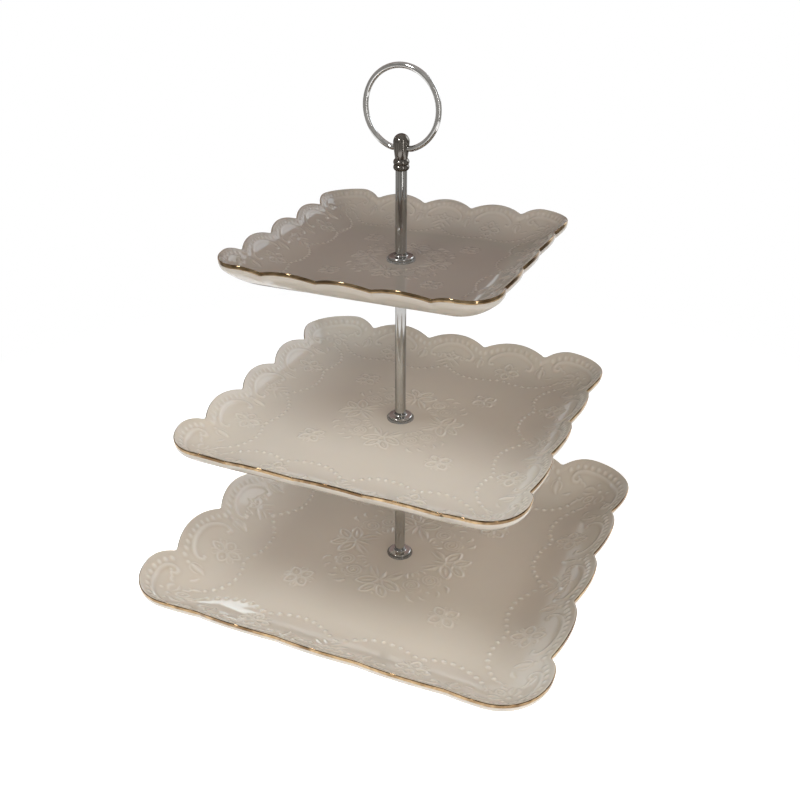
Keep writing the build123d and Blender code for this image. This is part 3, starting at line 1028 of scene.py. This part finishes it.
def add_disc(name, rings, count=96):
    """Flat disc on the floor's level, from rings of vertices."""
    vertices = [(0.0, 0.0, 0.0)]
    faces = []
    for reach in rings:
        for index in range(count):
            turn = 2 * pi * index / count
            vertices.append((reach * cos(turn), reach * sin(turn), 0.0))
    for index in range(count):
        following = (index + 1) % count
        faces.append((0, 1 + index, 1 + following))
        for ring in range(len(rings) - 1):
            near, far = 1 + ring * count, 1 + (ring + 1) * count
            faces.append((near + index, far + index, far + following, near + following))
    return add_mesh(name, vertices, faces)


def background_rays(nodes):
    """1 for the rays that see the background: camera, reflection and refraction rays."""
    rays = nodes.add("LightPath")
    seen = nodes.math("MAXIMUM", rays.outputs["Is Camera Ray"], rays.outputs["Is Glossy Ray"])
    return nodes.math("MAXIMUM", seen, rays.outputs["Is Transmission Ray"])


def add_floor():
    """Pale floor that keeps the stand's soft shadow and fades to the white backdrop."""
    floor = add_disc("floor", FLOOR_RINGS)
    material, nodes, surface, place = bare_material("pale_floor")
    seen = background_rays(nodes)
    matte = nodes.add("BsdfDiffuse", {"Color": FLOOR_GREY})
    lift = nodes.add("Emission")
    lifted = nodes.math("MULTIPLY", nodes.math("MAXIMUM", seen, UNSEEN_LIFT), FLOOR_LIFT)
    nodes.link(lifted, lift.inputs["Strength"])
    lit = nodes.add("AddShader")
    nodes.link(matte.outputs["BSDF"], lit.inputs[0])
    nodes.link(lift.outputs["Emission"], lit.inputs[1])
    white = nodes.add("Emission")
    nodes.link(nodes.math("MAXIMUM", seen, UNSEEN_WHITE), white.inputs["Strength"])
    fade = nodes.remap(nodes.length(place), *FLOOR_FADE, 0.0, 1.0, smooth=True)
    nodes.link(nodes.mix_shaders(fade, lit.outputs[0], white.outputs[0]), surface)
    floor.data.materials.append(material)


def add_screen(name, vertices, faces, dark, light):
    """Grey studio screen out of the camera's sight, which metal and glaze mirror."""
    screen = add_mesh(name, vertices, faces)
    screen.visible_camera = False
    screen.visible_shadow = False
    screen.visible_diffuse = False
    material, nodes, surface, place = bare_material(name)
    folds = nodes.noise(place, 2.0, 2.0)
    glow = nodes.add("Emission")
    nodes.link(nodes.blend(folds, 0.3, 0.7, (*dark, 1), (*light, 1)), glow.inputs["Color"])
    nodes.link(glow.outputs["Emission"], surface)
    screen.data.materials.append(material)
    return screen


def add_curtain(name, middle, spread, low, high, dark, light, reach):
    """Upright curtain on an arc round the stand."""
    count = 48
    vertices = []
    faces = []
    for index in range(count + 1):
        turn = radians(middle - spread / 2 + spread * index / count)
        for z in (low, (low + high) / 2, high):
            vertices.append((reach * cos(turn), reach * sin(turn), z))
    for index in range(count):
        for row in range(2):
            corner = 3 * index + row
            faces.append((corner, corner + 3, corner + 4, corner + 1))
    return add_screen(name, vertices, faces, dark, light)


def add_ceiling(level, dark, light, reach):
    """Square ceiling over the curtains."""
    vertices = [(x * reach, y * reach, level) for x, y in ((-1, -1), (1, -1), (1, 1), (-1, 1))]
    add_screen("ceiling", vertices, [(0, 1, 2, 3)], dark, light)


def add_softbox(name, azimuth, elevation, size, watts, tint):
    """Soft area lamp on a sphere round the stand, hidden from reflections."""
    lamp = bpy.data.lights.new(name, "AREA")
    lamp.shape = "RECTANGLE"
    lamp.size, lamp.size_y = size
    lamp.energy = watts
    lamp.color = tint
    softbox = add_object(name, lamp)
    around, up = radians(azimuth), radians(elevation)
    away = Vector((cos(around) * cos(up), sin(around) * cos(up), sin(up)))
    softbox.location = Vector((0, 0, LAMP_CENTRE)) + LAMP_DISTANCE * away
    softbox.rotation_euler = away.to_track_quat("Z", "Y").to_euler()
    softbox.visible_glossy = False
    return softbox


def link_light(source, state, *objects):
    """Lets a lamp or board serve some objects alone, or keeps its light off them."""
    group = bpy.data.collections.new(f"{source.name}_link")
    source.light_linking.receiver_collection = group
    for index, item in enumerate(objects):
        group.objects.link(item)
        group.collection_objects[index].light_linking.link_state = state


def light_world():
    """White backdrop for the camera and for reflections, softer light for the surfaces."""
    world = bpy.data.worlds.new("studio")
    scene.world = world
    world.use_nodes = True
    nodes = Nodes(world.node_tree)
    output = nodes.add("OutputWorld")
    light = nodes.add("Background", {"Color": AMBIENT_TINT, "Strength": AMBIENT})
    white = nodes.add("Background", {"Color": (1, 1, 1, 1)})
    seen = background_rays(nodes)
    both = nodes.mix_shaders(seen, light.outputs[0], white.outputs[0])
    nodes.link(both, output.inputs["Surface"])


# -------- everything together
add_camera()
light_world()
add_floor()
for name, values in CURTAINS.items():
    add_curtain(name, *values)
boards = [add_curtain(name, *values) for name, values in BOARDS.items()]
add_ceiling(*CEILING)
for name, values in SHARED_LAMPS.items():
    add_softbox(name, *values)
lower_lamps = [add_softbox(name, *values) for name, values in LOWER_LAMPS.items()]
upper_lamps = [add_softbox(name, *values) for name, values in UPPER_LAMPS.items()]
# two lamps that chrome and glaze do mirror
glint = add_softbox("glint", *GLINT)
glint.visible_glossy = True
glint.visible_diffuse = False
strip = add_softbox("strip", *STRIP)
strip.visible_glossy = True

relief, crest = make_ornament()
plate_materials = [glaze_material(), gilt_material(), bisque_material()]
bottom, middle, top = (build_plate(name, relief, crest, plate_materials) for name in PLATES)
finish_column()
for lamp in lower_lamps:
    link_light(lamp, "EXCLUDE", top)
for lamp in upper_lamps:
    link_light(lamp, "EXCLUDE", bottom, middle)
for board in boards:
    link_light(board, "INCLUDE", bottom)

scene.view_settings.view_transform = "Standard"

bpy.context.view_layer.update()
